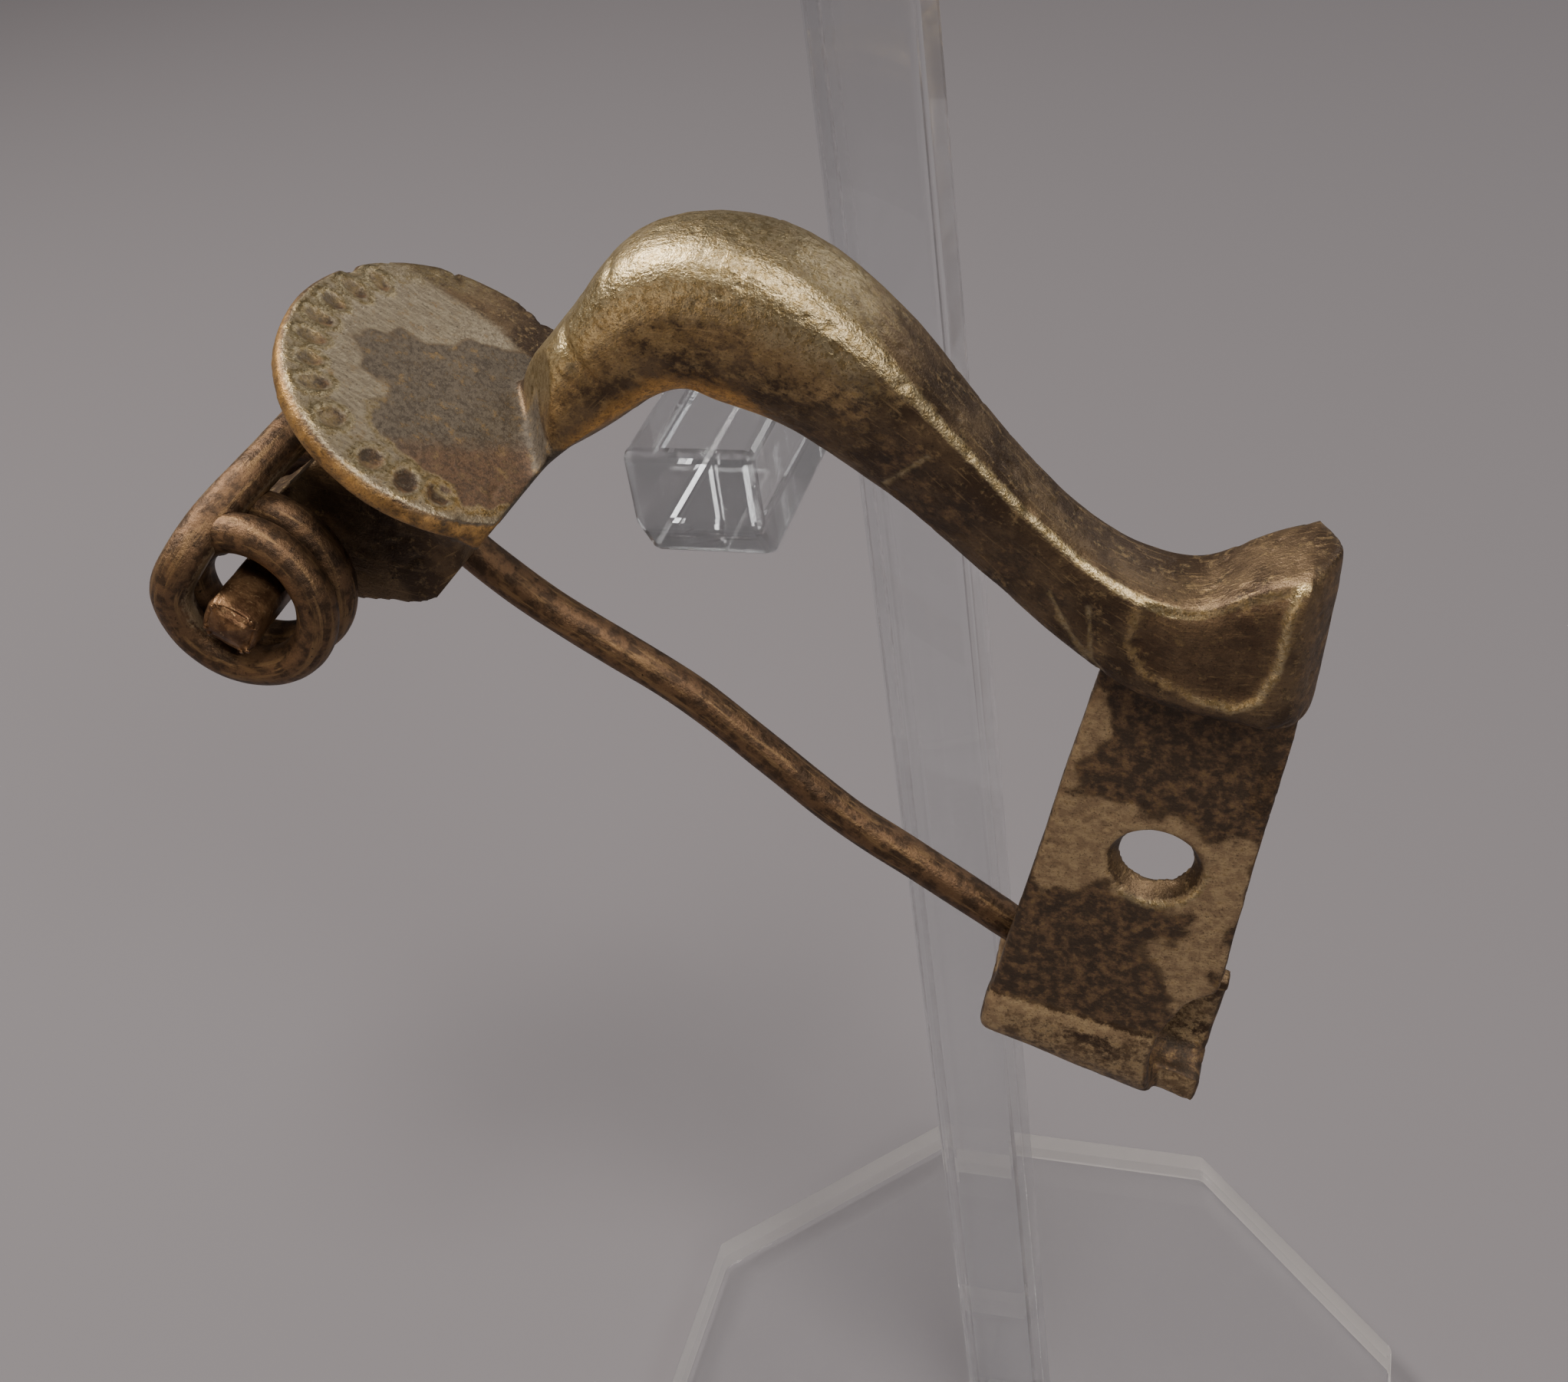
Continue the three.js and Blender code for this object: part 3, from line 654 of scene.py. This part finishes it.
def finish_wire(name, wire, seat, station, seats, course, lengths, radius_at, groove_at, wear_and_highlight_at):
    """Thins, flattens and grooves the wire, closes its ends, and keeps a pattern vector on it."""
    for vert in wire.verts:
        i = vert[station]
        angle = 2 * math.pi * vert[seat] / seats
        reach = radius_at(lengths[i], angle) + groove_at(lengths[i], angle)
        vert.co = course[i] + (vert.co - course[i]).normalized() * reach
    bmesh.ops.holes_fill(wire, edges=[e for e in wire.edges if e.is_boundary], sides=0)
    bmesh.ops.recalc_face_normals(wire, faces=wire.faces)
    caps = [f for f in wire.faces if len(f.verts) > 4]
    bmesh.ops.inset_individual(wire, faces=caps, thickness=0.12, depth=0.05)
    mesh = bpy.data.meshes.new(name)
    where = [(vert[station], vert[seat]) for vert in wire.verts]
    bmesh.ops.transform(wire, matrix=brooch_to_row, verts=wire.verts)
    wire.to_mesh(mesh)
    wire.free()
    along = mesh.attributes.new("along", "FLOAT_VECTOR", "POINT")
    values = []
    for i, s in where:
        angle = 2 * math.pi * s / seats
        values += [math.cos(angle), math.sin(angle), lengths[i]]
    along.data.foreach_set("vector", values)
    rubbed_and_highlight = mesh.attributes.new("rubbed_and_highlight", "FLOAT", "POINT")
    rubbed_and_highlight.data.foreach_set("value", [wear_and_highlight_at(lengths[i], 2 * math.pi * s / seats) for i, s in where])
    for polygon in mesh.polygons:
        polygon.use_smooth = len(polygon.vertices) <= 4
    return mesh


# near coil and chord
near_outer = -inner_turn - 2 * near_pitch
far_outer = inner_turn + 2 * far_pitch
chord = [Vector(p) for p in (
    (-38.5, -5.3, 7.6), (-37.9, -3.9, 8.8), (-37.1, -2.2, 9.8), (-36.6, 0, 10.4), (-36.5, 2.6, 10.5),
    (-36.4, 4.6, 10.4), (-35.6, 5.9, 9.5))]
chord_lands = math.radians(45)
near_coil = turns(chord_left + math.pi * 4, chord_left, -inner_turn, near_outer)
far_start = turns(chord_lands + math.pi * 4, pin_leaves + math.pi * 2, far_outer, inner_turn + far_pitch)
spring_course, spring_lengths = smooth_course(near_coil + chord + far_start[:2], 0.16)
spring_seats = 24
wire, seat, station = drawn_wire(spring_course, wire_radius, spring_seats, Vector((0, 1, 0)))
chord_begins = 4 * math.pi * coil_radius


def spring_radius(length, angle):
    beat = 0.018 * noise.noise(Vector((length * 0.9, math.cos(angle), math.sin(angle))))
    return wire_radius - 0.03 + beat


def spring_groove(length, angle):
    flat = 0.05 * math.cos(2 * angle + 0.8)
    return flat * min(1, max(0, (length - chord_begins + 3) / 3))


# pale along the chord's two broad faces: partly rubbed metal, partly a painted highlight
def spring_wear_and_highlight(length, angle):
    on_chord = min(1, max(0, (length - chord_begins + 5) / 5))
    return 0.1 + 0.85 * on_chord * max(0, math.cos(2 * angle + 0.8)) ** 2


spring_mesh = finish_wire("spring_wire", wire, seat, station, spring_seats, spring_course,
                          spring_lengths, spring_radius, spring_groove, spring_wear_and_highlight)
spring_piece = new_piece("spring_wire", spring_mesh)

# far coil and pin
pin_course_points = far_start[1:] + turns(
    pin_leaves + math.pi * 2, pin_leaves, inner_turn + far_pitch, inner_turn)[1:]
pin_route = [(-31.5, 6.45), (-29, 4.85), (-26.8, 3.65), (-23.4, 2.2), (-20, 0.75), (-16.5, -1.4),
             (-12.8, -3.7), (-9.2, -5.35), (-5.5, -7.1), (-1.5, -9.1), (2.6, -11.0)]
for i, (px, pz) in enumerate(pin_route):
    pin_course_points.append(Vector((px, inner_turn + (1.7 - inner_turn) * i / 10, pz)))
pin_course, pin_lengths = smooth_course(pin_course_points, 0.18)
pin_seats = 24
wire, seat, station = drawn_wire(pin_course, pin_radius, pin_seats, Vector((0, 1, 0)))
pin_total = pin_lengths[-1]


def pin_radius_at(length, angle):
    left = pin_total - length
    taper = min(1.0, (left + 0.15) / 9.0) ** 0.6
    beat = 0.03 * noise.noise(Vector((length * 0.35, 0.3 * math.cos(angle), 0.3 * math.sin(angle))))
    return (pin_radius - 0.04 + beat) * taper


def pin_groove(length, angle):
    return 0.012 * math.sin(3 * angle + length * 0.08)


def pin_rubbed(length, angle):
    return 0.08


pin_mesh = finish_wire("pin_wire", wire, seat, station, pin_seats, pin_course, pin_lengths,
                       pin_radius_at, pin_groove, pin_rubbed)
pin_piece = new_piece("pin_wire", pin_mesh)

# Drawn bronze wire: brown patina, mottled and pitted, with long pale streaks where it is rubbed; on the
# chord they are partly a painted highlight.
wire_bronze, wire_shader = new_finish("drawn_bronze_wire")
course_vector = add(wire_bronze, "ShaderNodeAttribute", {"attribute_name": "along"}).outputs["Vector"]
stretched = add(wire_bronze, "ShaderNodeVectorMath", {"operation": "MULTIPLY"}, _0=course_vector,
                _1=(2.0, 2.0, 0.3)).outputs[0]
rubbed_and_highlight = add(wire_bronze, "ShaderNodeAttribute", {"attribute_name": "rubbed_and_highlight"}).outputs["Fac"]
metres = add(wire_bronze, "ShaderNodeTexCoord").outputs["Object"]
millimetres = add(wire_bronze, "ShaderNodeVectorMath", {"operation": "SCALE"}, _0=metres,
                  Scale=1000.0).outputs[0]
streaks = cloud(wire_bronze, stretched, 1.4, 4.0, 0.65)
mottle = cloud(wire_bronze, millimetres, 1.6, 4.0, 0.65)
grains = cloud(wire_bronze, millimetres, 5.0, 4.0, 0.7)
colour = mixed(wire_bronze, between(wire_bronze, mottle, 0.40, 0.60), linear("46372b"), linear("6c543f"))
colour = mixed(wire_bronze, between(wire_bronze, streaks, 0.50, 0.66), colour, linear("7e6549"))
wire_wear_and_highlight_sum = maths(wire_bronze, "ADD", rubbed_and_highlight, maths(wire_bronze, "SUBTRACT", maths(
    wire_bronze, "ADD", streaks, grains), 1.0))
wire_wear_and_highlight = between(wire_bronze, wire_wear_and_highlight_sum, 0.3, 0.75)
colour = mixed(wire_bronze, wire_wear_and_highlight, colour, linear("a8957a"))
colour = mixed(wire_bronze, between(wire_bronze, grains, 0.60, 0.72), colour, linear("2c221b"))
wire_bronze.node_tree.links.new(colour, wire_shader.inputs["Base Color"])
wire_shader.inputs["Metallic"].default_value = 0.8
wire_rough = blended(wire_bronze, wire_wear_and_highlight, 0.50, 0.30)
wire_bronze.node_tree.links.new(wire_rough, wire_shader.inputs["Roughness"])
relief = blended(wire_bronze, 0.6, blended(wire_bronze, 0.5, streaks, mottle), grains)
bump = add(wire_bronze, "ShaderNodeBump", Strength=0.6, Distance=0.00014, Height=relief)
wire_bronze.node_tree.links.new(bump.outputs[0], wire_shader.inputs["Normal"])
spring_mesh.materials.append(wire_bronze)
pin_mesh.materials.append(wire_bronze)

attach(spring_piece, "brooch_on_stand")
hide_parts("spring")
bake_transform(pin_piece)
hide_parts("pin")

# ---------------------------------------------------------------------------------------------
# The display stand: an eight-sided foot, a square upright and a peg, cut from clear acrylic.
# The edges are flame-polished, so each is a little round; the peg is glued to the upright.
# ---------------------------------------------------------------------------------------------
acrylic, acrylic_shader = new_finish("clear_polished_acrylic")
acrylic_shader.inputs["Base Color"].default_value = linear("f6f8fa")
acrylic_shader.inputs["Roughness"].default_value = 0.02
acrylic_shader.inputs["Alpha"].default_value = 0.75
acrylic_shader.inputs["IOR"].default_value = 1.49
acrylic_shader.inputs["Transmission Weight"].default_value = 1.0

# The foot is thin sheet, seen through more than the bar; its sawn sides are left matt.
foot_acrylic, foot_shader = new_finish("clear_acrylic_sheet")
foot_shader.inputs["Base Color"].default_value = linear("f6f8fa")
foot_shader.inputs["Roughness"].default_value = 0.03
foot_shader.inputs["IOR"].default_value = 1.49
foot_shader.inputs["Transmission Weight"].default_value = 1.0
foot_shader.inputs["Alpha"].default_value = 0.25
sawn_acrylic, sawn_shader = new_finish("sawn_acrylic_edge")
sawn_shader.inputs["Base Color"].default_value = linear("f1efee")
sawn_shader.inputs["Roughness"].default_value = 0.45
sawn_shader.inputs["Alpha"].default_value = 0.4


def polished(node, name, round_edges, finish):
    """A copy of a stand solid with its flat faces whole again and its edges rounded."""
    solid = bmesh.new()
    solid.from_mesh(bpy.data.objects[node].data)
    bmesh.ops.remove_doubles(solid, verts=solid.verts, dist=1e-6)
    bmesh.ops.dissolve_limit(solid, angle_limit=math.radians(1), verts=solid.verts, edges=solid.edges)
    for radius, chosen in round_edges:
        edges = [e for e in solid.edges if chosen(e)]
        bmesh.ops.bevel(solid, geom=edges, offset=radius, affect="EDGES", segments=3, profile=0.5,
                        material=-1, clamp_overlap=True)
    mesh = bpy.data.meshes.new(name)
    solid.to_mesh(mesh)
    solid.free()
    mesh.materials.append(finish)
    piece = new_piece(name, mesh)
    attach(piece, "brooch_on_stand")
    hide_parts(node)
    return piece


foot_piece = polished("stand_foot", "acrylic_foot", [(0.0003, lambda e: True)], foot_acrylic)
foot_piece.data.materials.append(sawn_acrylic)
for polygon in foot_piece.data.polygons:
    polygon.material_index = int(abs(polygon.normal.z) < 0.5)
polished("stand_upright", "acrylic_upright", [(0.0003, lambda e: True)], acrylic)
polished("stand_peg", "acrylic_peg", [(0.0004, lambda e: True)], acrylic)

# ---------------------------------------------------------------------------------------------
# The room: a plain grey floor, one large soft light up on the left and weaker ones elsewhere.
# ---------------------------------------------------------------------------------------------
floor_shape = bmesh.new()
bmesh.ops.create_grid(floor_shape, x_segments=1, y_segments=1, size=1.6)
bmesh.ops.translate(floor_shape, vec=(0, 0, -0.0002), verts=floor_shape.verts)
floor_mesh = bpy.data.meshes.new("floor")
floor_shape.to_mesh(floor_mesh)
floor_shape.free()
floor = new_piece("floor", floor_mesh)
paper, paper_shader = new_finish("matt_grey_paper")
paper_shader.inputs["Base Color"].default_value = linear("706e74")
paper_shader.inputs["Roughness"].default_value = 0.9
floor_mesh.materials.append(paper)

world = bpy.data.worlds.new("soft_room")
world.use_nodes = True
world.node_tree.nodes["Background"].inputs["Color"].default_value = linear("b4b3b4")
world.node_tree.nodes["Background"].inputs["Strength"].default_value = 0.22
scene.world = world

brooch_middle = Vector((0.0, -0.0113, 0.073))


def soft_light(name, direction, distance, size, power, colour):
    lamp = bpy.data.lights.new(name, "AREA")
    lamp.shape = "DISK"
    lamp.size = size
    lamp.energy = power
    lamp.color = linear(colour)[:3]
    light = bpy.data.objects.new(name, lamp)
    scene.collection.objects.link(light)
    towards = Vector(direction).normalized()
    light.matrix_world = Matrix.Translation(brooch_middle + towards * distance) @ (
        towards.to_track_quat("Z", "Y").to_matrix().to_4x4())


soft_light("key_softbox", (0.28, -0.38, 0.88), 0.5, 0.12, 1.5, "fff6ea")
soft_light("left_softbox", (-0.60, 0.10, 0.80), 0.5, 0.16, 3.6, "fff6ea")
soft_light("back_strip", (0.51, 0.75, 0.43), 0.6, 0.2, 0.6, "f4f2f0")
soft_light("right_strip", (0.65, -0.47, 0.58), 0.5, 0.14, 0.9, "fff6ea")
soft_light("front_fill", (-0.6, -0.8, 0.05), 0.7, 0.3, 0.75, "ffe4c4")
